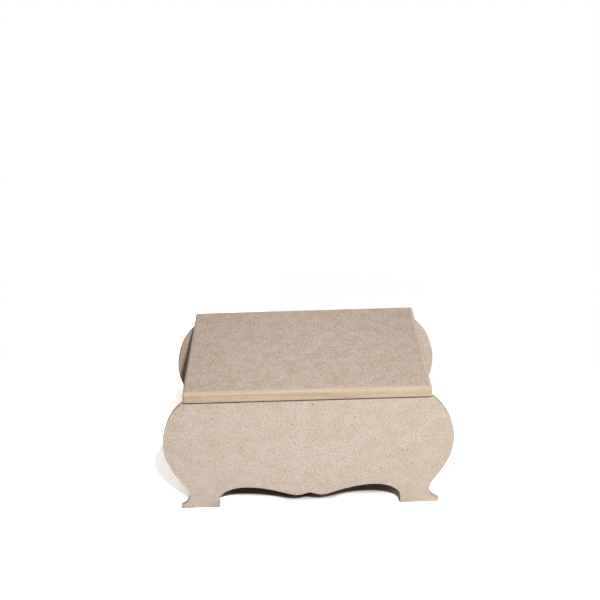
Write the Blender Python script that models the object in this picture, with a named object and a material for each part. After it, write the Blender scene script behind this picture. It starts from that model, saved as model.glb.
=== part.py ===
"""Unfinished MDF box on four splayed feet, with a flat lid that is hinged at the back.

Front and back are one bulging outline, sawn twice. Flat side walls and a bottom board stand between
them. The side walls are a little taller than the panels, so the lid rests on them and leaves room
over the back panel for two closed butt hinges. Metres, +Z up, front towards -Y. The origin is on the
table under the middle of the lid.
"""

import math

import bmesh
import bpy
from mathutils import Matrix, Vector
from mathutils.geometry import interpolate_bezier

# Boards
PANEL_THICKNESS = 0.006
LID_THICKNESS = 0.012
LID_WIDTH = 0.260
LID_DEPTH = 0.165
LID_ROUND_OVER = 0.0035
FRONT_OVERHANG = 0.0015
BACK_OVERHANG = 0.0045
JOINT_GAP = 0.0003

# Outline of the front and back panels: corner, lobe, waist and toe, from the top down
PANEL_HEIGHT = 0.145
CORNER_REACH = 0.0025
LOBE_BULGE = 0.0245
LOBE_DROP = 0.057
WAIST_INSET = 0.0235
WAIST_HEIGHT = 0.020
TOE_REACH = 0.0115
TOE_HEIGHT = 0.004
LOBE_HANDLE_SHARE = 0.55
WAIST_HANDLE_SHARE = 0.20

# Apron between the feet: an arch beside each foot, a drop, and a small notch in the middle
FOOT_WIDTH = 0.0435
FOOT_STRAIGHT = 0.010
ARCH_HEIGHT = 0.0285
DROP_HEIGHT = 0.015
NOTCH_RISE = 0.0035
CROWN_SHARE = 0.71
DROP_SHARE = 0.143
ARCH_HANDLE_SHARES = (0.53, 0.13)
NOTCH_HANDLE_SHARES = (0.50, 0.25)

# Case between the panels
SIDE_INSET = 0.010
BOTTOM_CLEARANCE = 0.0035

# Butt hinges
HINGE_LENGTH = 0.024
HINGE_END_DISTANCE = 0.043
LEAF_THICKNESS = 0.0006
HINGE_PIN_RADIUS = 0.0005
HINGE_PIN_CLEARANCE = 0.0001

# Round-head nails that hold the leaves
NAIL_RADIUS = 0.0005
NAIL_LENGTH = 0.008
NAIL_POINT = 0.0012
NAIL_HEAD_RADIUS = 0.0012
NAIL_HEAD_HEIGHT = 0.0005
NAIL_END_DISTANCE = 0.003
NAIL_STAGGER = 0.0035
CUT_OVERRUN = 0.001

# Half widths of the outline
CORNER_X = LID_WIDTH / 2 + CORNER_REACH
LOBE_X = CORNER_X + LOBE_BULGE
WAIST_X = LOBE_X - WAIST_INSET
TOE_X = WAIST_X + TOE_REACH
FOOT_INSIDE_X = TOE_X - FOOT_WIDTH

# Where the boards stand, front to back
FRONT_FACE_Y = -LID_DEPTH / 2 + FRONT_OVERHANG
BACK_FACE_Y = LID_DEPTH / 2 - BACK_OVERHANG
INSIDE_FRONT_Y = FRONT_FACE_Y + PANEL_THICKNESS
INSIDE_BACK_Y = BACK_FACE_Y - PANEL_THICKNESS
SIDE_WALL_X = LID_WIDTH / 2 - SIDE_INSET - PANEL_THICKNESS / 2

# Closed hinge: its leaves lie one over the other between the back panel's top edge and the lid
KNUCKLE_BORE_RADIUS = HINGE_PIN_RADIUS + HINGE_PIN_CLEARANCE
KNUCKLE_RADIUS = KNUCKLE_BORE_RADIUS + LEAF_THICKNESS
AXIS_Y = BACK_FACE_Y + JOINT_GAP + KNUCKLE_RADIUS
AXIS_Z = PANEL_HEIGHT + JOINT_GAP + KNUCKLE_RADIUS
LEAF_WIDTH = AXIS_Y - INSIDE_BACK_Y
HINGE_X = LID_WIDTH / 2 - HINGE_END_DISTANCE - HINGE_LENGTH / 2
NAIL_Y = BACK_FACE_Y - PANEL_THICKNESS / 2

# Levels
BOTTOM_Z = ARCH_HEIGHT + BOTTOM_CLEARANCE
LID_UNDERSIDE_Z = AXIS_Z + KNUCKLE_RADIUS + JOINT_GAP
SIDE_WALL_TOP_Z = LID_UNDERSIDE_Z - JOINT_GAP

# Facets
ARC_STEPS = 9
CURVE_STEPS = 12
ROUND_OVER_STEPS = 4
ROLL_STEPS = 16
ROUND_SIDES = 16
SMOOTH_BELOW = math.radians(35)
QUARTER_TURN = math.radians(90)


def clear_scene():
    for item in list(bpy.data.objects):
        bpy.data.objects.remove(item)


def make_material(name, colour, roughness, metallic=0.0):
    material = bpy.data.materials.new(name)
    material.use_nodes = True
    shader = material.node_tree.nodes["Principled BSDF"]
    shader.inputs["Base Color"].default_value = (*colour, 1.0)
    shader.inputs["Roughness"].default_value = roughness
    shader.inputs["Metallic"].default_value = metallic
    return material


def add_object(name, mesh, place, parent=None):
    """Place an object by its world position, also under a parent that is only moved."""
    item = bpy.data.objects.new(name, mesh)
    bpy.context.scene.collection.objects.link(item)
    item.parent = parent
    item.location = Vector(place) - (parent.location if parent else Vector())
    return item


def finish_mesh(name, bm, material):
    bmesh.ops.recalc_face_normals(bm, faces=bm.faces)
    mesh = bpy.data.meshes.new(name)
    bm.to_mesh(mesh)
    bm.free()
    mesh.materials.append(material)
    mesh.shade_smooth()
    mesh.set_sharp_from_angle(angle=SMOOTH_BELOW)
    return mesh


def box(width, depth, height):
    """Block that stands on its origin, centred in X and Y."""
    bm = bmesh.new()
    bmesh.ops.create_cube(bm, size=1.0)
    bmesh.ops.scale(bm, vec=(width, depth, height), verts=bm.verts)
    bmesh.ops.translate(bm, vec=(0, 0, height / 2), verts=bm.verts)
    return bm


def bezier(start, handle_one, handle_two, end):
    """Points after the start, up to and with the end."""
    corners = [Vector((x, 0, z)) for x, z in (start, handle_one, handle_two, end)]
    return [(point.x, point.z) for point in interpolate_bezier(*corners, CURVE_STEPS + 1)[1:]]


def arc_between(upright, other):
    """Arc from the point where it runs upright to another point, ends included.

    Its centre lies level with the first point, and its radius follows from both points.
    """
    across = other[0] - upright[0]
    along = other[1] - upright[1]
    radius = (across ** 2 + along ** 2) / (2 * across)
    centre_x = upright[0] + radius
    sweep = math.atan2(along, abs(radius) - abs(across))
    turns = [sweep * step / ARC_STEPS for step in range(ARC_STEPS + 1)]
    return [
        (centre_x - radius * math.cos(turn), upright[1] + abs(radius) * math.sin(turn))
        for turn in turns
    ]


def half_outline():
    """Right half of a panel, from its top corner down and round to the notch at X = 0."""
    lobe = (LOBE_X, PANEL_HEIGHT - LOBE_DROP)
    waist = (WAIST_X, WAIST_HEIGHT)
    fall = lobe[1] - waist[1]
    points = arc_between(lobe, (CORNER_X, PANEL_HEIGHT))[::-1]
    points += bezier(
        lobe,
        (LOBE_X, lobe[1] - LOBE_HANDLE_SHARE * fall),
        (WAIST_X, waist[1] + WAIST_HANDLE_SHARE * fall),
        waist,
    )
    points += arc_between(waist, (TOE_X, TOE_HEIGHT))[1:]
    points += [(TOE_X, 0), (FOOT_INSIDE_X, 0)]

    crown_x = CROWN_SHARE * FOOT_INSIDE_X
    rise = ARCH_HEIGHT - FOOT_STRAIGHT
    for step in range(ARC_STEPS + 1):
        turn = QUARTER_TURN * step / ARC_STEPS
        across = (FOOT_INSIDE_X - crown_x) * math.cos(turn)
        points.append((crown_x + across, FOOT_STRAIGHT + rise * math.sin(turn)))

    drop_x = DROP_SHARE * FOOT_INSIDE_X
    span = crown_x - drop_x
    points += bezier(
        (crown_x, ARCH_HEIGHT),
        (drop_x + ARCH_HANDLE_SHARES[0] * span, ARCH_HEIGHT),
        (drop_x + ARCH_HANDLE_SHARES[1] * span, DROP_HEIGHT),
        (drop_x, DROP_HEIGHT),
    )
    notch_height = DROP_HEIGHT + NOTCH_RISE
    points += bezier(
        (drop_x, DROP_HEIGHT),
        (NOTCH_HANDLE_SHARES[0] * drop_x, DROP_HEIGHT),
        (NOTCH_HANDLE_SHARES[1] * drop_x, notch_height),
        (0, notch_height),
    )
    return points


def drawn_out(bm, faces):
    """Extrude faces of a closed body in place; return the new faces and their corners, to be moved."""
    grown = bmesh.ops.extrude_face_region(bm, geom=faces)["geom"]
    bmesh.ops.delete(bm, geom=faces, context="FACES_ONLY")
    new_faces = [item for item in grown if isinstance(item, bmesh.types.BMFace)]
    return new_faces, [item for item in grown if isinstance(item, bmesh.types.BMVert)]


def panel_mesh(material):
    """Bulging panel of the front and the back; its origin is on the table, in its middle plane."""
    right = half_outline()
    left = [(-x, z) for x, z in right[-2::-1]]
    bm = bmesh.new()
    rim = [bm.verts.new((x, -PANEL_THICKNESS / 2, z)) for x, z in right + left]
    face = bm.faces.new(rim)
    grown = bmesh.ops.extrude_face_region(bm, geom=[face])["geom"]
    moved = [item for item in grown if isinstance(item, bmesh.types.BMVert)]
    bmesh.ops.translate(bm, vec=(0, PANEL_THICKNESS, 0), verts=moved)
    return finish_mesh("bulging_panel", bm, material)


def side_wall_mesh(material):
    depth = INSIDE_BACK_Y - INSIDE_FRONT_Y - 2 * JOINT_GAP
    bm = box(PANEL_THICKNESS, depth, SIDE_WALL_TOP_Z - BOTTOM_Z)
    return finish_mesh("side_wall", bm, material)


def bottom_board_mesh(material):
    width = 2 * SIDE_WALL_X - PANEL_THICKNESS - 2 * JOINT_GAP
    depth = INSIDE_BACK_Y - INSIDE_FRONT_Y - 2 * JOINT_GAP
    return finish_mesh("bottom_board", box(width, depth, PANEL_THICKNESS), material)


def lid_mesh(material):
    """Lid with its four top edges rounded over; its origin is in the middle of its underside."""
    bm = box(LID_WIDTH, LID_DEPTH, LID_THICKNESS)
    top_edges = [edge for edge in bm.edges if min(vert.co.z for vert in edge.verts) > 0]
    bmesh.ops.bevel(
        bm,
        geom=top_edges,
        offset=LID_ROUND_OVER,
        offset_type="OFFSET",
        segments=ROUND_OVER_STEPS,
        profile=0.5,
        affect="EDGES",
    )
    return finish_mesh("lid_board", bm, material)


def leaf_mesh(name, knuckles, side, material):
    """Leaf of a hinge with its knuckles rolled round the pin; its origin is on the pin's axis.

    knuckles numbers the thirds of the hinge's length that this leaf's knuckles take. side is -1 for
    the leaf under the pin and +1 for the one over it.
    """
    third = HINGE_LENGTH / 3
    half_gap = JOINT_GAP / 2
    stations = {-HINGE_LENGTH / 2, HINGE_LENGTH / 2}
    spans = []
    for knuckle in knuckles:
        start = -HINGE_LENGTH / 2 + knuckle * third + (half_gap if knuckle > 0 else 0)
        end = -HINGE_LENGTH / 2 + (knuckle + 1) * third - (half_gap if knuckle < 2 else 0)
        spans.append((start, end))
        stations.update((start, end))
    stations = sorted(stations)

    outer = side * KNUCKLE_RADIUS
    inner = side * KNUCKLE_BORE_RADIUS
    shoulder = -KNUCKLE_RADIUS - JOINT_GAP
    rim = [(-LEAF_WIDTH, outer), (shoulder, outer), (shoulder, inner), (-LEAF_WIDTH, inner)]
    shoulder_side = 1
    bm = bmesh.new()
    rings = [[bm.verts.new((x, y, z)) for y, z in rim] for x in stations]
    bm.faces.new(rings[0])
    bm.faces.new(rings[-1][::-1])
    knuckle_faces = []
    for here, there in zip(rings, rings[1:]):
        for corner in range(len(rim)):
            after = (corner + 1) % len(rim)
            face = bm.faces.new((here[corner], there[corner], there[after], here[after]))
            middle = face.calc_center_median().x
            if corner == shoulder_side and any(start < middle < end for start, end in spans):
                knuckle_faces.append(face)
    bmesh.ops.recalc_face_normals(bm, faces=bm.faces)

    tab_faces, tab_verts = drawn_out(bm, knuckle_faces)
    bmesh.ops.translate(bm, vec=(0, -shoulder, 0), verts=tab_verts)
    closing = math.asin((KNUCKLE_BORE_RADIUS - HINGE_PIN_CLEARANCE) / KNUCKLE_RADIUS)
    turn = Matrix.Rotation(-side * (3 * QUARTER_TURN + closing) / ROLL_STEPS, 3, "X")
    for _ in range(ROLL_STEPS):
        tab_faces, tab_verts = drawn_out(bm, tab_faces)
        bmesh.ops.rotate(bm, cent=(0, 0, 0), matrix=turn, verts=tab_verts)
    return finish_mesh(name, bm, material)


def turned(bm, profile, place=(0, 0, 0), upward=1):
    """Add a solid turned about Z from (radius, height) points; its first and last lie on the axis."""
    spots = [Vector((0, 0, height * upward)) + Vector(place) for _, height in profile]
    first, last = bm.verts.new(spots[0]), bm.verts.new(spots[-1])
    rings = []
    for (radius, _), spot in zip(profile[1:-1], spots[1:-1]):
        turns = [math.tau * side / ROUND_SIDES for side in range(ROUND_SIDES)]
        rings.append([
            bm.verts.new(spot + Vector((radius * math.cos(turn), radius * math.sin(turn), 0)))
            for turn in turns
        ])
    for side in range(ROUND_SIDES):
        after = (side + 1) % ROUND_SIDES
        bm.faces.new((first, rings[0][after], rings[0][side]))
        bm.faces.new((last, rings[-1][side], rings[-1][after]))
        for lower, upper in zip(rings, rings[1:]):
            bm.faces.new((lower[side], lower[after], upper[after], upper[side]))


def hinge_pin_mesh(material):
    bm = bmesh.new()
    half = HINGE_LENGTH / 2
    turned(bm, [(0, -half), (HINGE_PIN_RADIUS, -half), (HINGE_PIN_RADIUS, half), (0, half)])
    bmesh.ops.rotate(bm, cent=(0, 0, 0), matrix=Matrix.Rotation(QUARTER_TURN, 3, "Y"), verts=bm.verts)
    return finish_mesh("hinge_pin", bm, material)


def nail_places(end_distance):
    """X of a hinge's two nails from the middle of the hinge, on one leaf."""
    reach = HINGE_LENGTH / 2 - end_distance
    return (-reach, reach)


def nail_mesh(name, upward, material):
    """Nail with its origin under its head; upward is the way the head faces."""
    profile = [
        (0, -NAIL_LENGTH),
        (NAIL_RADIUS, NAIL_POINT - NAIL_LENGTH),
        (NAIL_RADIUS, 0),
        (NAIL_HEAD_RADIUS, 0),
        (NAIL_HEAD_RADIUS, NAIL_HEAD_HEIGHT / 2),
        ((NAIL_RADIUS + NAIL_HEAD_RADIUS) / 2, NAIL_HEAD_HEIGHT),
        (0, NAIL_HEAD_HEIGHT),
    ]
    bm = bmesh.new()
    turned(bm, profile, upward=upward)
    return finish_mesh(name, bm, material)


def add_nail_holes(name, places, leaf_face, upward, parent=None):
    """Hidden cutter for the nails' holes, through the leaves and into the board behind them."""
    radius = NAIL_RADIUS + JOINT_GAP
    profile = [(0, -NAIL_LENGTH), (radius, -NAIL_LENGTH), (radius, CUT_OVERRUN), (0, CUT_OVERRUN)]
    bm = bmesh.new()
    for hinge_x in (-HINGE_X, HINGE_X):
        for x in places:
            turned(bm, profile, (hinge_x + x, 0, 0), upward)
    bmesh.ops.recalc_face_normals(bm, faces=bm.faces)
    mesh = bpy.data.meshes.new(name)
    bm.to_mesh(mesh)
    bm.free()
    cutter = add_object(name, mesh, (0, NAIL_Y, leaf_face), parent)
    cutter.hide_render = True
    cutter.display_type = "WIRE"
    return cutter


def cut(item, cutter):
    modifier = item.modifiers.new("nail_holes", "BOOLEAN")
    modifier.operation = "DIFFERENCE"
    modifier.solver = "EXACT"
    modifier.object = cutter


def build():
    clear_scene()
    board = make_material("raw_mdf", (0.62, 0.51, 0.42), 0.85)
    lid_wood = make_material("raw_mdf_lid", (0.53, 0.43, 0.35), 0.85)
    wall_wood = make_material("raw_mdf_walls", (0.60, 0.49, 0.40), 0.88)
    brass = make_material("brass", (0.72, 0.52, 0.22), 0.30, 1.0)

    # Boards
    panel = panel_mesh(board)
    add_object("front_panel", panel, (0, FRONT_FACE_Y + PANEL_THICKNESS / 2, 0))
    back_panel = add_object("back_panel", panel, (0, BACK_FACE_Y - PANEL_THICKNESS / 2, 0))
    wall = side_wall_mesh(wall_wood)
    inside_y = (INSIDE_FRONT_Y + INSIDE_BACK_Y) / 2
    add_object("left_side_wall", wall, (-SIDE_WALL_X, inside_y, BOTTOM_Z))
    add_object("right_side_wall", wall, (SIDE_WALL_X, inside_y, BOTTOM_Z))
    add_object("bottom_board", bottom_board_mesh(wall_wood), (0, inside_y, BOTTOM_Z))

    # Lid, on the hinges' axis
    axis = add_object("lid_axis", None, (0, AXIS_Y, AXIS_Z))
    lid_board = add_object("lid_board", lid_mesh(lid_wood), (0, 0, LID_UNDERSIDE_Z), axis)

    # Nail holes: the box leaves' near the hinges' ends, the lid leaves' between them, so no heads meet
    box_nails = nail_places(NAIL_END_DISTANCE)
    lid_nails = nail_places(NAIL_END_DISTANCE + NAIL_STAGGER)
    box_leaf_face = AXIS_Z - KNUCKLE_BORE_RADIUS
    lid_leaf_face = AXIS_Z + KNUCKLE_BORE_RADIUS
    box_cutter = add_nail_holes("box_nail_holes", box_nails, box_leaf_face, 1)
    lid_cutter = add_nail_holes("lid_nail_holes", lid_nails, lid_leaf_face, -1, axis)
    cut(back_panel, box_cutter)
    cut(lid_board, lid_cutter)

    # Hinges with their nails
    box_leaf = leaf_mesh("box_leaf", (0, 2), -1, brass)
    lid_leaf = leaf_mesh("lid_leaf", (1,), 1, brass)
    pin = hinge_pin_mesh(brass)
    box_nail = nail_mesh("box_nail", 1, brass)
    lid_nail = nail_mesh("lid_nail", -1, brass)
    for side, hinge_x in (("left", -HINGE_X), ("right", HINGE_X)):
        place = (hinge_x, AXIS_Y, AXIS_Z)
        cut(add_object(f"{side}_hinge_box_leaf", box_leaf, place), box_cutter)
        cut(add_object(f"{side}_hinge_lid_leaf", lid_leaf, place, axis), lid_cutter)
        add_object(f"{side}_hinge_pin", pin, place)
        for number, x in enumerate(box_nails, 1):
            under_head = (hinge_x + x, NAIL_Y, box_leaf_face + JOINT_GAP)
            add_object(f"{side}_hinge_box_nail_{number}", box_nail, under_head)
        for number, x in enumerate(lid_nails, 1):
            under_head = (hinge_x + x, NAIL_Y, lid_leaf_face - JOINT_GAP)
            add_object(f"{side}_hinge_lid_nail_{number}", lid_nail, under_head, axis)


build()
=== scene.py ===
"""A raw MDF box on a white table: its boards, hinges and nails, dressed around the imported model."""

import math

import bpy
import numpy as np
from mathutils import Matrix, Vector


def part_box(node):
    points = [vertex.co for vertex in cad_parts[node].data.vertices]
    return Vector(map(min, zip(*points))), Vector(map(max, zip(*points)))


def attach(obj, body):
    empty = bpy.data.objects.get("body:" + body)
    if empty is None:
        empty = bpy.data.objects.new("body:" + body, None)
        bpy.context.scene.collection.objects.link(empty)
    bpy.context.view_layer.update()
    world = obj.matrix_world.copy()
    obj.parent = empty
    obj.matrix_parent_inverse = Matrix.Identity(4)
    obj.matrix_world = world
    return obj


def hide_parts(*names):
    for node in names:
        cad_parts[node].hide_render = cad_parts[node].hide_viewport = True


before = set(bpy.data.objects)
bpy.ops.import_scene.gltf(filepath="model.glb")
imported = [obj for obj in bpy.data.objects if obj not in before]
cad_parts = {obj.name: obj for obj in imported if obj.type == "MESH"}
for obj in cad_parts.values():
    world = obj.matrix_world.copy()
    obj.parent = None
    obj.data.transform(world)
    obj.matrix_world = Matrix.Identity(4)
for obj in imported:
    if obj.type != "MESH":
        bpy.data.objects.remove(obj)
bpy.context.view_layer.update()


# ---- Front and back panels ---------------------------------------------------------------------
# One bulging outline, sawn twice from 6 mm MDF with a scroll saw: round lobes, a waist, splayed
# feet, and an apron of two arches with a small notch in the middle. The faces stay as the board
# mill sanded them. The sawn edge is open and a shade browner, and sandpaper has broken its corners.

panel_height = 0.145
top_corner = (0.1325, panel_height)
lobe = (0.157, 0.088)
waist = (0.1335, 0.020)
toe = (0.145, 0.004)
foot_inside = 0.1015
foot_straight = 0.010
arch_crown = (0.0721, 0.0285)
apron_drop = (0.0145, 0.015)
notch_top = 0.0185
corner_radius = 0.0008
# Where the curves' handles lie: shares of the side's fall, of the arch's span and of the drop's place.
side_handles, arch_handles, notch_handles = (0.55, 0.20), (0.53, 0.13), (0.50, 0.25)
sandpaper_ease = 0.0003
ease_rim = 0.0003
board_crease = math.radians(40)


def arc_from_upright(start, end, count):
    """Points of the circle that leaves start straight up or down and passes through end.

    The centre is level with start, and the radius is (dx^2 + dz^2) / (2 dx).
    """
    dx, dz = end[0] - start[0], end[1] - start[1]
    radius = (dx * dx + dz * dz) / (2 * dx)
    turn = math.atan2(dz, abs(radius) - abs(dx)) * np.linspace(0, 1, count)
    return np.stack([start[0] + radius * (1 - np.cos(turn)), start[1] + abs(radius) * np.sin(turn)], 1)


def bezier(a, b, c, d, count):
    """Cubic curve: the four points weighted by (1-t)^3, 3t(1-t)^2, 3t^2(1-t) and t^3."""
    t = np.linspace(0, 1, count)[:, None]
    a, b, c, d = (np.array(p, float) for p in (a, b, c, d))
    return (1 - t) ** 3 * a + 3 * t * (1 - t) ** 2 * b + 3 * t ** 2 * (1 - t) * c + t ** 3 * d


def closed_line(runs, radius, steps=6, straight=0.05):
    """Joins runs end to end into one closed line, and turns each corner between two runs by a small arc.

    A corner that turns by an angle w is cut back by radius * tan(w / 2) on both runs, and the arc
    leaves the first run along its own direction: along * sin(v) + sideways * (1 - cos(v)), v from 0
    to w. Two runs that meet at less than the angle straight, in radians, need no arc.
    """
    pieces = [np.array(run, float) for run in runs]
    line = []
    for run, after in zip(pieces, pieces[1:] + pieces[:1]):
        going = (run[-1] - run[-2]) / np.linalg.norm(run[-1] - run[-2])
        leaving = (after[1] - after[0]) / np.linalg.norm(after[1] - after[0])
        left = np.array([-going[1], going[0]])
        turn = math.atan2(leaving @ left, leaving @ going)
        if abs(turn) < straight:
            line.append(run[:-1])
            continue
        back = radius * math.tan(abs(turn) / 2)
        angle = np.linspace(0, abs(turn), steps)[:, None]
        side = left * np.sign(turn)
        corner = run[-1] - going * back
        arc = corner + radius * (going * np.sin(angle) + side * (1 - np.cos(angle)))
        after[0] = arc[-1]
        line += [run[:-1], arc[:-1]]
    return np.concatenate(line)


def panel_outline():
    """Closed outline in X and Z: down the right side, along the apron, up the left side, over the top."""
    fall = lobe[1] - waist[1]
    span = arch_crown[0] - apron_drop[0]
    quarter = np.linspace(0, math.pi / 2, 22)[:, None]
    outside = [
        arc_from_upright(lobe, top_corner, count=56)[::-1],
        bezier(lobe, (lobe[0], lobe[1] - side_handles[0] * fall),
               (waist[0], waist[1] + side_handles[1] * fall), waist, count=56)[1:],
        arc_from_upright(waist, toe, count=22)[1:],
    ]
    apron = [
        [(foot_inside, 0), (foot_inside, foot_straight)],
        np.array((arch_crown[0], foot_straight)) + np.hstack([
            (foot_inside - arch_crown[0]) * np.cos(quarter[1:]),
            (arch_crown[1] - foot_straight) * np.sin(quarter[1:]),
        ]),
        bezier(arch_crown, (apron_drop[0] + arch_handles[0] * span, arch_crown[1]),
               (apron_drop[0] + arch_handles[1] * span, apron_drop[1]), apron_drop, count=44)[1:],
        bezier(apron_drop, (notch_handles[0] * apron_drop[0], apron_drop[1]),
               (notch_handles[1] * apron_drop[0], notch_top), (0, notch_top), count=18)[1:],
    ]
    side, under = np.concatenate(outside), np.concatenate(apron)
    mirror = np.array([-1, 1])
    return closed_line([
        side,
        [toe, (toe[0], 0)],
        [(toe[0], 0), (foot_inside, 0)],
        np.concatenate([under, under[-2::-1] * mirror]),
        [(-foot_inside, 0), (-toe[0], 0)],
        [(-toe[0], 0), (-toe[0], toe[1])],
        side[::-1] * mirror,
        [(-top_corner[0], panel_height), top_corner],
    ], corner_radius)


def enclosed(line):
    """Area inside a closed line, above 0 where it runs anticlockwise."""
    after = np.roll(line, -1, 0)
    return 0.5 * np.sum(line[:, 0] * after[:, 1] - line[:, 1] * after[:, 0])


def mitred(line):
    """Gives the function of inset that moves a closed line inwards.

    Each point moves along its mitre: the sum of the normals m and n of its two sides, over 1 + m . n.
    """
    ahead = np.roll(line, -1, 0) - line
    normal = np.stack([ahead[:, 1], -ahead[:, 0]], 1) / np.linalg.norm(ahead, axis=1)[:, None]
    before = np.roll(normal, 1, 0)
    outward = (normal + before) / (1 + (normal * before).sum(1))[:, None] * np.sign(enclosed(line))
    return lambda inset: line - inset * outward


def eased_profile(thickness, ease, rim, far_ease=None, far_steps=6):
    """Profile through a board, as rows of (inset, depth, rub): rim, quarter round, edge, quarter round, rim.

    A quarter round of radius r has inset r (1 - sin v) at depth r (1 - cos v). Rub is 1 in the middle
    of a rounded corner and 0 on the flats beside it. The far corner may have a radius of its own.
    """
    far_ease = ease if far_ease is None else far_ease
    v = np.linspace(0, math.pi / 2, 6)
    near = np.stack([ease * (1 - np.sin(v)), ease * (1 - np.cos(v)), np.sin(2 * v) * 0.5 + 0.5], 1)
    v = np.linspace(0, math.pi / 2, far_steps)[::-1]
    far = np.stack([far_ease * (1 - np.sin(v)), thickness - far_ease * (1 - np.cos(v)),
                    np.sin(2 * v) * 0.5 + 0.5], 1)
    depth = np.linspace(ease, thickness - far_ease, 7)[1:-1]
    edge = np.stack([0 * depth, depth, 0 * depth], 1)
    return np.concatenate([[(ease + rim, 0, 0)], near, edge, far, [(far_ease + rim, thickness, 0)]])


def board(name, outline, profile, corner, across, up, through, face_rows=(3, 3)):
    """One board: its outline carried through its thickness, and closed by a flat face at each end.

    A point is corner + across * a + up * b + through * depth, where (a, b) is a point of the outline
    at the profile's inset. The edge's UV map is the distance along the outline and through the board,
    in metres. Face_rows gives how many rows of the profile at each end belong to the face's material,
    which is the first one that the board is given, and the edge's is the second.
    """
    flat = np.stack([outline(inset) for inset in profile[:, 0]])
    rows, n = flat.shape[:2]
    rim = outline(0.0)
    length, area = np.linalg.norm(np.roll(rim, -1, 0) - rim, axis=1), enclosed(rim)
    across, up, through = (np.array(v, float) for v in (across, up, through))
    points = (np.array(corner, float) + flat[..., :1] * across + flat[..., 1:] * up
              + profile[:, 1][:, None, None] * through)
    row, col = np.meshgrid(np.arange(rows - 1), np.arange(n), indexing="ij")
    quad = np.stack([row * n + col, row * n + (col + 1) % n,
                     (row + 1) * n + (col + 1) % n, (row + 1) * n + col], -1).reshape(-1, 4)
    near_face, far_face = np.arange(n)[::-1], (rows - 1) * n + np.arange(n)
    if np.cross(across, up) @ through * area < 0:
        quad, near_face, far_face = quad[:, ::-1], near_face[::-1], far_face[::-1]
    mesh = bpy.data.meshes.new(name)
    mesh.from_pydata(points.reshape(-1, 3).tolist(), [],
                     quad.tolist() + [near_face.tolist(), far_face.tolist()])
    side_material = np.where((row < face_rows[0]) | (row >= rows - 1 - face_rows[1]), 0, 1).ravel()
    mesh.polygons.foreach_set("material_index", np.append(side_material, [0, 0]).astype(np.int32))

    along = np.append(0, np.cumsum(length))
    deep = np.append(0, np.cumsum(np.linalg.norm(np.diff(profile[:, :2], axis=0), axis=1)))
    corners = np.empty(len(mesh.loops), np.int32)
    mesh.loops.foreach_get("vertex_index", corners)
    sides = 4 * len(quad)
    u, v = corners % n, corners // n
    wraps = (u[:sides].reshape(-1, 4) == 0) & (u[:sides].reshape(-1, 4).max(1) == n - 1)[:, None]
    uv = np.stack([along[u], deep[v]], 1)
    uv[:sides, 0] = np.where(wraps.ravel(), along[-1], uv[:sides, 0])
    uv[sides:] = flat.reshape(-1, 2)[corners[sides:]]
    mesh.uv_layers.new(name="along_the_edge").data.foreach_set("uv", uv.astype(np.float32).ravel())
    rub = np.repeat(profile[:, 2], n).astype(np.float32)
    mesh.attributes.new("rub", "FLOAT", "POINT").data.foreach_set("value", rub)
    mesh.shade_smooth()
    mesh.set_sharp_from_angle(angle=board_crease)
    piece = bpy.data.objects.new(name, mesh)
    bpy.context.collection.objects.link(piece)
    return piece


def add_node(material, kind, inputs=(), **settings):
    """Adds a node of a kind and sets it; inputs gives each socket a number, a colour or another socket."""
    node = material.node_tree.nodes.new("ShaderNode" + kind)
    for key, value in settings.items():
        setattr(node, key, value)
    for socket, value in dict(inputs).items():
        if isinstance(value, bpy.types.NodeSocket):
            material.node_tree.links.new(value, node.inputs[socket])
        else:
            node.inputs[socket].default_value = value
    return node


def remap(material, value, low, high, to_low=0.0, to_high=1.0):
    """Value between low and high, taken smoothly to between to_low and to_high, and no further."""
    node = add_node(material, "MapRange", {"Value": value, "From Min": low, "From Max": high,
                                           "To Min": to_low, "To Max": to_high},
                    interpolation_type="SMOOTHSTEP")
    return node.outputs["Result"]


def blend_colour(material, share, first, second, kind="MIX"):
    """First colour where share is 0 and second where it is 1."""
    node = add_node(material, "Mix", {0: share, 6: first, 7: second}, data_type="RGBA", blend_type=kind)
    return node.outputs[2]


def combine(material, operation, first, second=0.0, third=0.0):
    """Arithmetic on one, two or three numbers."""
    return add_node(material, "Math", {0: first, 1: second, 2: third}, operation=operation).outputs[0]


def shade(colour, share):
    """A colour made darker or lighter by a share, as four numbers."""
    return tuple(c * share for c in colour[:3]) + (1.0,)


def tinted(colour, red, green, blue):
    """A colour with each of its three parts multiplied by a share, as four numbers."""
    return (colour[0] * red, colour[1] * green, colour[2] * blue, 1.0)


def grain(material, place, size, detail=2.0, rough=0.55, seed=0.0):
    """Cloudy noise whose lumps are about size metres across. The seed only moves it elsewhere."""
    moved = add_node(material, "Mapping", {"Vector": place, "Location": (seed, seed * 0.7, -seed)})
    return add_node(material, "TexNoise", {"Vector": moved.outputs[0], "Scale": 1 / size,
                                           "Detail": detail, "Roughness": rough}).outputs[0]


def fibres(material, place, facing, turn, length, width, seed=0.0):
    """Short strokes in the board's plane: noise drawn out to length one way and to width the others."""
    axis = "XYZ".index(facing)
    size, rotation = [width] * 3, [0.0] * 3
    size[1 if axis == 0 else 0], rotation[axis] = length, turn
    drawn = add_node(material, "Mapping", {"Vector": place, "Location": (seed, -seed, seed * 0.6),
                                           "Rotation": rotation, "Scale": size}, vector_type="TEXTURE")
    return add_node(material, "TexNoise", {"Vector": drawn.outputs[0], "Scale": 1.0, "Detail": 1.5,
                                           "Roughness": 0.5}).outputs[0]


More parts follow.
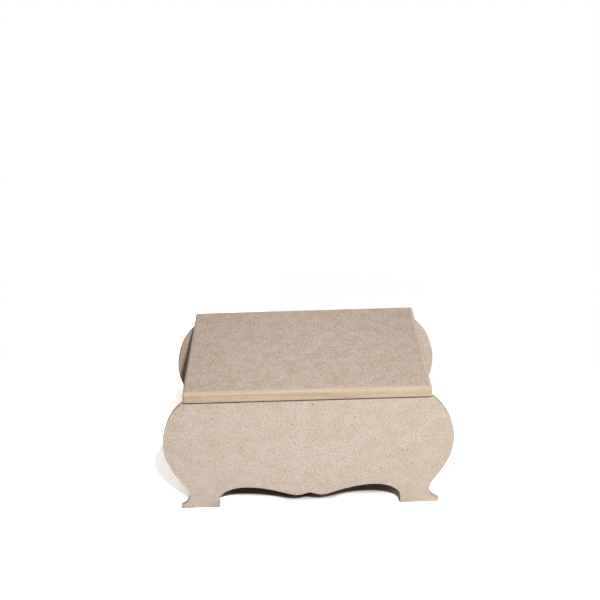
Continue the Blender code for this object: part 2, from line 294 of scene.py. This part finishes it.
def specks(material, flat, cell, share, widest, seed=0.0, drawn=1.0, turn=0.0):
    """Uneven specks on a plane: a share of its cells hold one each, drawn out one way.

    Widest is the largest radius, and wobble is how far noise pushes the outline, both in cells. The
    noise has wobbles lumps to a cell. A speck fades out over the outer share of its radius, soft.
    """
    wobbles, wobble, soft = 2.2, 0.45, 0.35
    uneven = add_node(material, "TexNoise", {"Vector": flat, "Scale": wobbles / cell, "Detail": 1.0})
    moved = add_node(material, "VectorMath", {0: uneven.outputs["Color"], 1: (cell * wobble,) * 3, 2: flat},
                     operation="MULTIPLY_ADD")
    moved = add_node(material, "Mapping", {"Vector": moved.outputs[0], "Location": (seed, seed, 0),
                                           "Rotation": (0, 0, turn), "Scale": (drawn, 1, 1)},
                     vector_type="TEXTURE")
    cells = add_node(material, "TexVoronoi", {"Vector": moved.outputs[0], "Scale": 1 / cell,
                                              "Randomness": 1.0}, voronoi_dimensions="2D")
    chance = add_node(material, "SeparateColor", {0: cells.outputs["Color"]}).outputs[0]
    radius = remap(material, chance, 1 - share, 1.0, 0.0, widest)
    inside = combine(material, "SUBTRACT", radius, cells.outputs["Distance"])
    return remap(material, inside, 0.0, widest * soft)


def new_material(name, colour):
    """A material with an empty node tree and its shader, shown in its plain colour in the viewport."""
    material = bpy.data.materials.new(name)
    material.use_nodes = True
    material.node_tree.nodes.clear()
    material.diffuse_color = colour
    shader = add_node(material, "BsdfPrincipled")
    add_node(material, "OutputMaterial", {"Surface": shader.outputs[0]})
    return material, shader


def connect(material, shader, colour, roughness, height, bump_strength, bump_depth):
    """Gives a shader its colour, its roughness and a bump, whose height of 1 stands for bump_depth metres."""
    bump = add_node(material, "Bump", {"Height": height, "Strength": bump_strength, "Distance": bump_depth})
    for socket, value in (("Base Color", colour), ("Roughness", roughness), ("Normal", bump.outputs[0])):
        material.node_tree.links.new(value, shader.inputs[socket])


def layered(material, tone, layers):
    """Lays colours over a tone one after another, each as far as its own share."""
    for share, colour in layers:
        tone = blend_colour(material, share, tone, colour)
    return tone


bark_colour = (0.13, 0.09, 0.065, 1)


def sanded_mdf(name, colour, facing, seed, mottled=1.0, painted_light=None):
    """Sanded face of an MDF board: clouds, pressed fibres light and dark, flecks, and a few specks of bark.

    Mottled is how strongly its clouds and its fine grain show. The last argument is painted light or shade: a
    slow change of tone across the board, given as a point, the distances from it at which the change starts
    and ends, and the shares of red, green and blue that are left past it.
    """
    material, shader = new_material(name, shade(colour, 1))
    place = add_node(material, "TexCoord").outputs["Object"]
    drawn = add_node(material, "Mapping", {"Vector": place, "Scale": (0.8, 1, 1)}).outputs[0]
    cloud_size, lump_size, fine_size = 0.013, 0.0034, 0.0014
    clouds = grain(material, drawn, cloud_size, 4.0, 0.66, seed)
    lumps = grain(material, place, lump_size, 2.0, 0.6, seed + 0.3)
    fine = grain(material, place, fine_size, 1.0, 0.6, seed + 0.6)

    long, short, width = 0.0040, 0.0036, 0.0012
    dark = combine(material, "MAXIMUM", fibres(material, place, facing, 0.3, short, width, seed),
                   fibres(material, place, facing, 1.9, long, width, seed + 1))
    light = combine(material, "MAXIMUM", fibres(material, place, facing, 1.1, long, width, seed + 2),
                    fibres(material, place, facing, 2.6, short, width, seed + 3))
    dark, light = remap(material, dark, 0.57, 0.70), remap(material, light, 0.59, 0.72)

    turn = {"X": (0, math.pi / 2, 0), "Y": (math.pi / 2, 0, 0), "Z": (0, 0, 0)}[facing]
    flat = add_node(material, "Mapping", {"Vector": place, "Rotation": turn}).outputs[0]
    flecks = combine(material, "MAXIMUM",
                     specks(material, flat, 0.0030, 0.42, 0.21, seed, drawn=1.8, turn=0.4),
                     specks(material, flat, 0.0020, 0.32, 0.26, seed + 0.8, drawn=1.9, turn=2.1))
    bark = combine(material, "MAXIMUM",
                   specks(material, flat, 0.0160, 0.20, 0.050, seed + 0.2, drawn=1.5, turn=1.2),
                   specks(material, flat, 0.0560, 0.25, 0.020, seed + 0.5, drawn=1.3, turn=2.8))
    rub = add_node(material, "Attribute", attribute_name="rub").outputs["Fac"]

    tone = blend_colour(material, remap(material, clouds, 0.34, 0.64),
                        tinted(colour, 1 - 0.070 * mottled, 1 - 0.105 * mottled, 1 - 0.135 * mottled),
                        tinted(colour, 1 + 0.035 * mottled, 1 + 0.050 * mottled, 1 + 0.065 * mottled))
    low_lumps = remap(material, lumps, 0.35, 0.65, 0.40 - 0.10 * mottled, 0.0)
    low_fine = remap(material, fine, 0.32, 0.56, 0.60 + 0.20 * mottled, 0.0)
    high_fine = remap(material, fine, 0.52, 0.72, 0.0, 0.45 * mottled)
    tone = layered(material, tone, [
        (low_lumps, tinted(colour, 0.88, 0.86, 0.83)),
        (low_fine, tinted(colour, 0.775, 0.735, 0.69)),
        (high_fine, tinted(colour, 1.16, 1.20, 1.25)),
        (combine(material, "MULTIPLY", dark, 0.35), tinted(colour, 0.69, 0.66, 0.62)),
        (combine(material, "MULTIPLY", light, 0.25), tinted(colour, 1.18, 1.21, 1.24)),
        (combine(material, "MULTIPLY", flecks, 0.75), tinted(colour, 0.52, 0.44, 0.37)),
        (combine(material, "MULTIPLY", bark, 0.80), bark_colour),
        (combine(material, "MULTIPLY", rub, 0.30), shade(colour, 0.88)),
    ])
    # Painted light or shade: a slow change of tone across the board, away from a point.
    if painted_light:
        point, start, end, shares = painted_light
        away = add_node(material, "VectorMath", {0: place, 1: point}, operation="DISTANCE").outputs["Value"]
        past = remap(material, away, start, end)
        tone = blend_colour(material, past, tone, shares + (1.0,), "MULTIPLY")
    rough = remap(material, fine, 0.3, 0.7, 0.78, 0.92)
    height = combine(material, "MULTIPLY_ADD", light, 0.6, fine)
    connect(material, shader, tone, rough, height, bump_strength=0.35, bump_depth=0.00008)
    shader.inputs["Specular IOR Level"].default_value = 0.3
    return material


def streaks(material, run, moved, to_a_metre, detail, rough=0.5):
    """Noise along a cut edge, with so many lumps to a metre along the edge and through the board."""
    drawn = add_node(material, "Mapping", {"Vector": run, "Location": moved, "Scale": to_a_metre})
    return add_node(material, "TexNoise", {"Vector": drawn.outputs[0], "Scale": 1.0, "Detail": detail,
                                           "Roughness": rough}).outputs[0]


def sawn_mdf(name, colour, thickness, seed, streak=1.0, saw_marks=1.0, ends=()):
    """Cut edge of an MDF board: an open core between two denser skins, thin layers along it and saw marks.

    Streak and saw_marks give how strongly those show. Each of ends is painted light or shade on the cut: a
    place in X past which the cut's tone changes, how far to either side of the middle it does so in Y, and the
    shares of red, green and blue that are left there.
    """
    material, shader = new_material(name, shade(colour, 1))
    run = add_node(material, "UVMap", uv_map="along_the_edge").outputs[0]
    place = add_node(material, "TexCoord").outputs["Object"]
    layers = streaks(material, run, (seed, seed, 0), (38, 560, 1), 3.0, 0.6)
    bands = streaks(material, run, (-seed, seed, 0), (11, 210, 1), 2.0)
    saw = streaks(material, run, (seed, 0, 0), (950, 25, 1), 1.0)
    fuzz = grain(material, place, 0.0016, 2.0, 0.65, seed)
    pores = specks(material, run, 0.0026, 0.50, 0.22, seed, drawn=2.2)
    through = add_node(material, "SeparateXYZ", {0: run}).outputs[1]
    from_middle = combine(material, "ABSOLUTE", combine(material, "SUBTRACT", through, thickness / 2))
    skin = remap(material, from_middle, thickness * 0.30, thickness * 0.50)
    rub = add_node(material, "Attribute", attribute_name="rub").outputs["Fac"]
    brown = tinted(colour, 0.84, 0.73, 0.60)

    tone = blend_colour(material, remap(material, bands, 0.40, 0.62), shade(colour, 1 + 0.05 * streak),
                        shade(colour, 0.94))
    tone = layered(material, tone, [
        (remap(material, bands, 0.52, 0.68, 0.0, 0.45 * streak), brown),
        (remap(material, layers, 0.45, 0.66, 0.0, 0.50 * streak), brown),
        (remap(material, saw, 0.5, 0.75, 0.0, 0.4 * saw_marks), shade(colour, 0.80)),
        (remap(material, fuzz, 0.32, 0.56, 0.60, 0.0), shade(colour, 0.80)),
        (remap(material, fuzz, 0.54, 0.72, 0.0, 0.35), shade(colour, 1.15)),
        (combine(material, "MULTIPLY", pores, 0.45), shade(brown, 0.6)),
        (combine(material, "MULTIPLY", skin, 0.30), shade(colour, 0.90)),
        (combine(material, "MULTIPLY", rub, 0.30), shade(colour, 1.10)),
    ])
    apart = add_node(material, "SeparateXYZ", {0: place}).outputs
    fade_in, fade_out = 0.0015, 0.002
    # Painted light and shade at the ends of the cut, each past its own place in X.
    for past, reach, shares in ends:
        out = remap(material, apart[0], past - math.copysign(fade_in, past), past)
        back = combine(material, "ABSOLUTE", apart[1])
        within = combine(material, "MULTIPLY", out, remap(material, back, reach - fade_out, reach, 1.0, 0.0))
        tone = blend_colour(material, within, tone, shares + (1.0,), "MULTIPLY")
    rough = remap(material, fuzz, 0.3, 0.7, 0.84, 0.97)
    height = combine(material, "MULTIPLY_ADD", saw, 0.5 * saw_marks, fuzz)
    height = combine(material, "MULTIPLY_ADD", layers, -0.5, height)
    connect(material, shader, tone, rough, height, bump_strength=0.5, bump_depth=0.00012)
    shader.inputs["Specular IOR Level"].default_value = 0.2
    return material


panel_face_colour = (0.708, 0.594, 0.502)
panel_edge_colour = (0.59, 0.475, 0.38)
panel_thickness = 0.006
panel_edge = sawn_mdf("sawn_panel_edge", panel_edge_colour, panel_thickness, seed=0.4)
# Painted warm shade: past 0.10 m from a point on its right, the back panel's face turns warmer, which stands in
# for the warm shade on its left lobe.
back_painted_warm_shade = ((0.060, 0.078, 0.080), 0.10, 0.20, (1.06, 0.99, 0.93))
for node, seed, painted_light in (("front_panel", 0.0, None), ("back_panel", 5.0, back_painted_warm_shade)):
    low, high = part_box(node)
    panel = board(node + "_sawn", mitred(panel_outline()),
                  eased_profile(panel_thickness, sandpaper_ease, ease_rim),
                  (0, low.y, 0), across=(1, 0, 0), up=(0, 0, 1), through=(0, 1, 0))
    panel.data.materials.append(sanded_mdf(node + "_face", panel_face_colour, "Y", seed, painted_light=painted_light))
    panel.data.materials.append(panel_edge)
    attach(panel, "box")
    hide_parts(node)


# ---- Side walls and bottom board ---------------------------------------------------------------
# Plain rectangles of the same 6 mm MDF, cut on a table saw. The walls are glued upright between the
# panels, 10 mm in from the lid's ends, and the bottom board is glued in between all four, above the
# arches. The walls stand a little taller than the panels, and the lid rests on them.

wall_face_colour = (0.64, 0.53, 0.44)
wall_edge_colour = (0.53, 0.41, 0.31)
wall_corner_radius, wall_ease, wall_rim = 0.0004, 0.0002, 0.0002


def rectangle(low, high, radius, steps=6):
    """Gives the function of inset for a rectangle with small round corners, which sharpen further in.

    Each corner's points are centre + r (cos v, sin v), with r = radius - inset, but never under a hair.
    """
    hair = 0.00002
    low, high = np.array(low, float), np.array(high, float)
    v = np.linspace(0, math.pi / 2, steps)[None] + math.pi / 2 * np.arange(4)[:, None]
    side = np.array([(1, 1), (-1, 1), (-1, -1), (1, -1)], float)[:, None]

    def at(inset):
        r = max(radius - inset, hair)
        centre = (low + high) / 2 + side * ((high - low) / 2 - inset - r)
        return (centre + r * np.stack([np.cos(v), np.sin(v)], -1)).reshape(-1, 2)

    return at


wall_edge = sawn_mdf("sawn_wall_edge", wall_edge_colour, panel_thickness, seed=1.7)
wall_profile = eased_profile(panel_thickness, wall_ease, wall_rim)
for node, seed in (("left_side_wall", 9.0), ("right_side_wall", 13.0)):
    low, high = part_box(node)
    wall = board(node + "_cut", rectangle((low.y, low.z), (high.y, high.z), wall_corner_radius),
                 wall_profile, (low.x, 0, 0), across=(0, 1, 0), up=(0, 0, 1), through=(1, 0, 0))
    wall.data.materials.append(sanded_mdf(node + "_face", wall_face_colour, "X", seed))
    wall.data.materials.append(wall_edge)
    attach(wall, "box")
    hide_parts(node)

low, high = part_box("bottom_board")
bottom = board("bottom_board_cut", rectangle((low.x, low.y), (high.x, high.y), wall_corner_radius),
               wall_profile, (0, 0, low.z), across=(1, 0, 0), up=(0, 1, 0), through=(0, 0, 1))
bottom.data.materials.append(sanded_mdf("bottom_board_face", wall_face_colour, "Z", seed=17.0))
bottom.data.materials.append(wall_edge)
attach(bottom, "box")
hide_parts("bottom_board")


# ---- Lid ---------------------------------------------------------------------------------------
# One flat board of 12 mm MDF that overhangs the box a little on every side. A router has rounded
# over its four top edges, which bares the yellower core: thin layers run along the cut, with a few
# browner streaks where the cutter rubbed. The top face is sanded and has picked up a few specks.

# The lid's face is darker than the panels' faces: partly its own board of MDF, partly painted shade on its top.
lid_face_colour_with_painted_shade = (0.590, 0.476, 0.390)
lid_edge_colour = (0.66, 0.51, 0.38)
lid_thickness = 0.012
round_over = 0.0035
lid_corner_radius = 0.0024
# Painted pool of light: the lid's face darkens slowly away from a point near its middle.
lid_painted_light_pool = ((0.018, -0.022, 0.160), 0.04, 0.20, (0.88, 0.865, 0.85))
# Painted shade on the lid's left end, which is greyer and darker, and a painted highlight on its right end,
# which is whiter.
left_end_painted_shade, right_end_painted_highlight, end_margin = (0.70, 0.75, 0.82), (0.99, 1.06, 1.18), 0.0015

low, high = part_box("lid_board")
lid = board("lid_board_routed", rectangle((low.x, low.y), (high.x, high.y), lid_corner_radius),
            eased_profile(lid_thickness, sandpaper_ease, ease_rim, round_over, far_steps=14),
            (0, 0, low.z), across=(1, 0, 0), up=(0, 1, 0), through=(0, 0, 1), face_rows=(3, 1))
lid.data.materials.append(sanded_mdf("lid_face", lid_face_colour_with_painted_shade, "Z", seed=21.0, mottled=1.9, painted_light=lid_painted_light_pool))
ends = [(low.x + round_over, high.y - end_margin, left_end_painted_shade),
        (high.x - round_over, high.y - end_margin, right_end_painted_highlight)]
lid.data.materials.append(sawn_mdf("routed_lid_edge", lid_edge_colour, lid_thickness, seed=2.9, streak=1.2,
                                   saw_marks=0.3, ends=ends))
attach(lid, "lid")
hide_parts("lid_board")


# ---- Hinges and nails --------------------------------------------------------------------------
# Two small butt hinges, rolled from thin brass sheet, lie closed between the lid and the back
# panel's top edge, with their knuckles just behind it. Each turns on a plain brass pin, and
# round-head brass nails hold the leaves.

hinge_length = 0.024
leaf_thickness = 0.0006
pin_radius, pin_clearance = 0.0005, 0.0001
knuckle_radius = pin_radius + pin_clearance + leaf_thickness
knuckle_gap = 0.0003
shoulder_gap = 0.0003
roll_angle = math.radians(294.6)
nail_from_edge = 0.003
nail_reach = {"box": 0.009, "lid": 0.0055}
nail_radius, nail_head_radius, nail_length, nail_point = 0.0005, 0.0012, 0.008, 0.0012
nail_head_rim, nail_head_rise = 0.0001, 0.0004
nail_hole_radius = 0.0008
brass_crease = math.radians(35)

brass_colour, bright_brass, dull_brass = (0.72, 0.52, 0.22, 1), (0.80, 0.58, 0.25, 1), (0.58, 0.38, 0.15, 1)
brass, shader = new_material("pressed_brass", brass_colour)
place = add_node(brass, "TexCoord").outputs["Object"]
tarnish = grain(brass, place, 0.004, 3.0, 0.6, seed=3.0)
scratches = fibres(brass, place, "Z", 0.1, 0.004, 0.00012, seed=1.0)
tone = blend_colour(brass, remap(brass, tarnish, 0.35, 0.7), bright_brass, dull_brass)
rough = remap(brass, scratches, 0.3, 0.7, 0.24, 0.42)
connect(brass, shader, tone, rough, scratches, bump_strength=0.15, bump_depth=0.00003)
shader.inputs["Metallic"].default_value = 1.0


def brass_piece(node, body, points, faces):
    """Makes a brass piece of points and faces, which stands for a node and moves with a body."""
    mesh = bpy.data.meshes.new(node + "_brass")
    mesh.from_pydata(points.tolist(), [], faces)
    mesh.shade_smooth()
    mesh.set_sharp_from_angle(angle=brass_crease)
    mesh.materials.append(brass)
    piece = bpy.data.objects.new(mesh.name, mesh)
    bpy.context.collection.objects.link(piece)
    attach(piece, body)
    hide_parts(node)


def turned(profile, base, along, steps=40):
    """Turned solid from rows of (radius, height), lowest first, whose first and last rows lie on the axis.

    A point is base + along * height + radius * (one * cos u + other * sin u).
    """
    profile, base, along = np.array(profile), np.array(base), np.array(along, float)
    one = np.roll(along, 1)
    other = np.cross(along, one)
    u = np.linspace(0, 2 * math.pi, steps, endpoint=False)[:, None]
    ring = np.cos(u) * one + np.sin(u) * other
    rows = profile[1:-1]
    points = base + rows[:, 1][:, None, None] * along + rows[:, 0][:, None, None] * ring
    ends = base + profile[[0, -1], 1][:, None] * along
    points = np.concatenate([ends[:1], points.reshape(-1, 3), ends[1:]])
    here = np.arange(steps)
    there = (here + 1) % steps
    row = 1 + steps * np.arange(len(rows) - 1)[:, None]
    quads = np.stack([row + here, row + there, row + steps + there, row + steps + here], -1).reshape(-1, 4)
    top = 1 + steps * (len(rows) - 1)
    low_cap = np.stack([0 * here, 1 + there, 1 + here], 1)
    high_cap = np.stack([0 * here + len(points) - 1, top + here, top + there], 1)
    return points, quads.tolist() + low_cap.tolist() + high_cap.tolist()


def rolled_leaf(axis, width, side, spans, reach):
    """Leaf of sheet brass: a flat plate with two nail holes, carried on into knuckles rolled round the pin.

    The middle of the sheet, at s from its free edge and t along the hinge, is axis + (t, s - width, side * r)
    while s < width, and then axis + (t, r sin a, side * r cos a) with a = (s - width) / r. Its two faces lie
    half the thickness to either side of that, and a rim joins them along every open side. A nail hole is a
    square of the grid left out, a little wider than the hole, whose border is pulled onto a circle.
    """
    wider, margin, roll_steps = 1.4, 0.001, 34
    r = knuckle_radius - leaf_thickness / 2
    shoulder = width - knuckle_radius - shoulder_gap
    square = nail_hole_radius * wider * np.linspace(-1, 1, 5)
    half = hinge_length / 2
    s = np.concatenate([[0, margin], nail_from_edge + square, [shoulder - margin, shoulder],
                        width + r * np.linspace(0, roll_angle, roll_steps)])
    t = np.unique(np.concatenate([[-half, half], np.ravel(spans), reach + square, square - reach]).round(8))
    s_grid, t_grid = np.meshgrid(s, t, indexing="ij")
    for centre in (-reach, reach):
        ds, dt = s_grid - nail_from_edge, t_grid - centre
        far = np.maximum(np.abs(ds), np.abs(dt))
        border = np.isclose(far, square[-1], atol=1e-6)
        pull = np.where(border, nail_hole_radius / np.maximum(np.hypot(ds, dt), 1e-9), 1.0)
        s_grid, t_grid = nail_from_edge + ds * pull, centre + dt * pull

    turn = np.maximum(s_grid - width, 0) / r
    outward = np.stack([0 * turn, np.sin(turn), side * np.cos(turn)], -1)
    middle = np.array(axis) + r * outward + np.stack([t_grid, np.minimum(s_grid - width, 0), 0 * turn], -1)
    points = np.concatenate([(middle + outward * leaf_thickness / 2).reshape(-1, 3),
                             (middle - outward * leaf_thickness / 2).reshape(-1, 3)])
    rows, cols = turn.shape
    s_mid, t_mid = np.meshgrid((s[1:] + s[:-1]) / 2, (t[1:] + t[:-1]) / 2, indexing="ij")
    kept = (s_mid < shoulder) | np.any([(t_mid > low) & (t_mid < high) for low, high in spans], axis=0)
    hole = (np.abs(s_mid - nail_from_edge) < square[-1]) & (np.abs(np.abs(t_mid) - reach) < square[-1])
    row, col = np.nonzero(kept & ~hole)
    first = row * cols + col
    quads = np.stack([first, first + 1, first + cols + 1, first + cols], 1)
    if side < 0:
        quads = quads[:, ::-1]
    edges = np.stack([quads, np.roll(quads, -1, 1)], -1).reshape(-1, 2)
    ident = edges[:, 0] * rows * cols + edges[:, 1]
    open_side = edges[~np.isin(ident, edges[:, 1] * rows * cols + edges[:, 0])]
    rim = np.hstack([open_side[:, ::-1], open_side + rows * cols])
    faces = np.concatenate([quads, quads[:, ::-1] + rows * cols, rim])
    used, faces = np.unique(faces, return_inverse=True)
    return points[used], faces.reshape(-1, 4).tolist()


dome = np.linspace(0, math.pi / 2, 9)[:-1, None]
nail_profile = np.concatenate([
    [(0, -nail_length), (nail_radius, nail_point - nail_length), (nail_radius, 0),
     (nail_head_radius - nail_head_rim, 0)],
    np.array((0, nail_head_rim)) + np.hstack([nail_head_radius * np.cos(dome), nail_head_rise * np.sin(dome)]),
    [(0, nail_head_rim + nail_head_rise)],
])
pin_end = [(0, 0), (0.0003, 0.00003), (0.00042, 0.0001), (pin_radius, 0.00025)]
pin_profile = np.array(pin_end + [(radius, hinge_length - height) for radius, height in pin_end[::-1]])
third, half = hinge_length / 3, hinge_length / 2
spans = {
    "box": [(-half, -third / 2 - knuckle_gap / 2), (third / 2 + knuckle_gap / 2, half)],
    "lid": [(-third / 2 + knuckle_gap / 2, third / 2 - knuckle_gap / 2)],
}
for hand in ("left", "right"):
    for body, side in (("box", -1), ("lid", 1)):
        node = hand + "_hinge_" + body
        low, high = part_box(node + "_leaf")
        axis_height = low.z + knuckle_radius if side < 0 else high.z - knuckle_radius
        axis = ((low.x + high.x) / 2, high.y - knuckle_radius, axis_height)
        leaf = rolled_leaf(axis, axis[1] - low.y, side, spans[body], nail_reach[body])
        brass_piece(node + "_leaf", body, *leaf)
        for number in ("_nail_1", "_nail_2"):
            low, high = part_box(node + number)
            under_head = high.z - nail_profile[-1, 1] if side < 0 else low.z + nail_profile[-1, 1]
            base = ((low.x + high.x) / 2, (low.y + high.y) / 2, under_head)
            brass_piece(node + number, body, *turned(nail_profile, base, (0, 0, -side)))
    low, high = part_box(hand + "_hinge_pin")
    base = (low.x, (low.y + high.y) / 2, (low.z + high.z) / 2)
    brass_piece(hand + "_hinge_pin", "box", *turned(pin_profile, base, (1, 0, 0)))


# ---- White table -------------------------------------------------------------------------------
# A plain white table top under the box. It throws light back up at the panels, keeps the box's
# shadow, and runs out to plain white further off. Near the box its colour carries painted shade,
# a painted shadow and painted light.

table_half = 6.0
table_level = -0.00005
square = [(-1, -1), (1, -1), (1, 1), (-1, 1)]
mesh = bpy.data.meshes.new("white_table")
mesh.from_pydata([(x * table_half, y * table_half, table_level) for x, y in square], [], [(0, 1, 2, 3)])
table = bpy.data.objects.new("white_table", mesh)
bpy.context.collection.objects.link(table)
paint = bpy.data.materials.new("white_table")
paint.use_nodes = True
paint.node_tree.nodes.clear()
place = add_node(paint, "TexCoord").outputs["Object"]
away = add_node(paint, "VectorMath", {0: place}, operation="LENGTH").outputs["Value"]
apart = add_node(paint, "SeparateXYZ", {0: place}).outputs
out, back = (combine(paint, "ABSOLUTE", apart[i]) for i in (0, 1))

# What it throws back up at the box: less on the left and the right, and next to nothing under the box
# and beside its left wall. These darker tones are painted shade, which keeps the box dark there.
left_end, right_end = (-0.40, -0.10), (0.15, 0.40)
under_out, under_back = (0.098, 0.125), (0.080, 0.105)
left_of_box, behind_front = (-0.150, -0.110), (-0.100, -0.075)
left_painted_shade, middle_tone, right_tone = (0.12, 0.10, 0.08, 1), (0.92, 0.91, 0.89, 1), (0.80, 0.78, 0.75, 1)
under_box_painted_shade, beside_box_painted_shade = (0.09, 0.072, 0.062, 1), (0.02, 0.02, 0.02, 1)
under = combine(paint, "MULTIPLY", remap(paint, out, *under_out, 1.0, 0.0),
                remap(paint, back, *under_back, 1.0, 0.0))
beside = combine(paint, "MULTIPLY", remap(paint, apart[0], *left_of_box, 1.0, 0.0),
                 remap(paint, apart[1], *behind_front))
tone = blend_colour(paint, remap(paint, apart[0], *left_end), left_painted_shade, middle_tone)
tone = layered(paint, tone, [
    (remap(paint, apart[0], *right_end), right_tone),
    (under, under_box_painted_shade),
    (beside, beside_box_painted_shade),
])
bounced = add_node(paint, "BsdfDiffuse", {"Color": tone}).outputs[0]

# What shows of it: whiter towards the left, painted light over the box's shadow where less light falls,
# and a painted shadow deepest under the apron, whose middle drop pushes that shadow's front back a little.
shown_span, shown_left_painted_light, shown_right = (-0.24, -0.02), (6.60, 6.60, 6.60, 1), (1.50, 1.50, 1.50, 1)
deep_out, deep_back, under_apron_painted_shadow = (0.100, 0.114), (0.057, 0.069), (0.52, 0.42, 0.41, 1)
drop_out, drop_push = (0.020, 0.046), 0.008
behind_drop = combine(paint, "SUBTRACT", back, remap(paint, out, *drop_out, drop_push, 0.0))
deep = combine(paint, "MULTIPLY", remap(paint, out, *deep_out, 1.0, 0.0),
               remap(paint, behind_drop, *deep_back, 1.0, 0.0))
tone = blend_colour(paint, remap(paint, apart[0], *shown_span), shown_left_painted_light, shown_right)
tone = blend_colour(paint, deep, tone, under_apron_painted_shadow)
shown = add_node(paint, "BsdfDiffuse", {"Color": tone}).outputs[0]

# Further off it is plain white, in the view and in the brass.
near_box, far_off = 0.26, 0.50
beyond = add_node(paint, "Emission", {"Color": (1, 1, 1, 1), "Strength": 1.0}).outputs[0]
path = add_node(paint, "LightPath").outputs
direct = combine(paint, "MAXIMUM", path["Is Camera Ray"], path["Is Glossy Ray"])
direct = combine(paint, "MAXIMUM", direct, path["Is Transmission Ray"])
near = add_node(paint, "MixShader", {0: path["Is Camera Ray"], 1: bounced, 2: shown}).outputs[0]
far = combine(paint, "MULTIPLY", direct, remap(paint, away, near_box, far_off))
mixed = add_node(paint, "MixShader", {0: far, 1: near, 2: beyond})
add_node(paint, "OutputMaterial", {"Surface": mixed.outputs[0]})
table.data.materials.append(paint)


# ---- Light -------------------------------------------------------------------------------------
# One small lamp high in front and a little to the right, which throws the apron's shadow on the
# table under the box. Weaker wide lamps stand on the right and behind, two low ones light the left
# and the back and pass the table by, and the room is dim.

white_level = math.pi
key_place, key_distance, key_level, key_radius = (0.285, -1.12, 1.45), 1.74, 0.856, 0.05
lamp = bpy.data.lights.new("key_lamp", "POINT")
lamp.shadow_soft_size = key_radius
lamp.energy = key_level * white_level * 4 * math.pi * key_distance ** 2
holder = bpy.data.objects.new("key_lamp", lamp)
holder.location = key_place
holder.visible_camera = False
bpy.context.collection.objects.link(holder)


def far_lamp(name, level, azimuth, elevation, spread):
    """A far lamp that shines level times white on a surface facing it.

    Azimuth 0 stands in front and 90 on the right, in degrees like the elevation and the spread.
    """
    light = bpy.data.lights.new(name, "SUN")
    light.energy, light.angle = level * white_level, math.radians(spread)
    holder = bpy.data.objects.new(name, light)
    holder.rotation_euler = (math.pi / 2 - math.radians(elevation), 0, math.radians(azimuth))
    bpy.context.collection.objects.link(holder)
    return holder


far_lamp("right_lamp", level=0.20, azimuth=62.0, elevation=38.0, spread=20.0)
far_lamp("back_lamp", level=0.20, azimuth=190.0, elevation=28.0, spread=12.0)
low_left = far_lamp("low_left_lamp", level=0.21, azimuth=250.0, elevation=4.0, spread=16.0)
low_back = far_lamp("low_back_lamp", level=0.32, azimuth=186.0, elevation=8.0, spread=12.0)
for low_lamp in (low_left, low_back):
    spared = bpy.data.collections.new(low_lamp.name + "_passes_by")
    spared.objects.link(table)
    low_lamp.light_linking.receiver_collection = spared
    spared.collection_objects[0].light_linking.link_state = "EXCLUDE"

room_level = 0.03
room = bpy.data.worlds.new("white_room")
bpy.context.scene.world = room
room.use_nodes = True
room.node_tree.nodes.clear()
path = add_node(room, "LightPath").outputs
direct = combine(room, "MAXIMUM", path["Is Camera Ray"], path["Is Glossy Ray"])
direct = combine(room, "MAXIMUM", direct, path["Is Transmission Ray"])
dim = add_node(room, "Background", {"Color": (1, 1, 1, 1), "Strength": room_level})
white = add_node(room, "Background", {"Color": (1, 1, 1, 1), "Strength": 1.0})
mixed = add_node(room, "MixShader", {0: direct, 1: dim.outputs[0], 2: white.outputs[0]})
add_node(room, "OutputWorld", {"Surface": mixed.outputs[0]})


# ---- Camera ------------------------------------------------------------------------------------
# Stands in front of the box and looks down on it, at the photograph's place, angle and focal length,
# which were fitted to the lid's corners and the front panel's outline.

camera_place = (-0.00602, -0.79429, 0.67804)
sensor_width, focal_length = 36.0, 50.80
pitch, yaw, roll = (math.radians(a) for a in (29.936, 0.098, -1.588))
forward = np.array([math.sin(yaw) * math.cos(pitch), math.cos(yaw) * math.cos(pitch), -math.sin(pitch)])
level = np.array([math.cos(yaw), -math.sin(yaw), 0.0])
upright = np.cross(level, forward)
right = math.cos(roll) * level + math.sin(roll) * upright
above = math.cos(roll) * upright - math.sin(roll) * level
pose = np.eye(4)
pose[:3] = np.stack([right, above, -forward, camera_place], 1)
lens = bpy.data.cameras.new("camera")
lens.sensor_width, lens.lens = sensor_width, focal_length
camera = bpy.data.objects.new("camera", lens)
bpy.context.collection.objects.link(camera)
camera.matrix_world = pose.T.tolist()
bpy.context.scene.camera = camera
bpy.context.scene.view_settings.view_transform = "Standard"
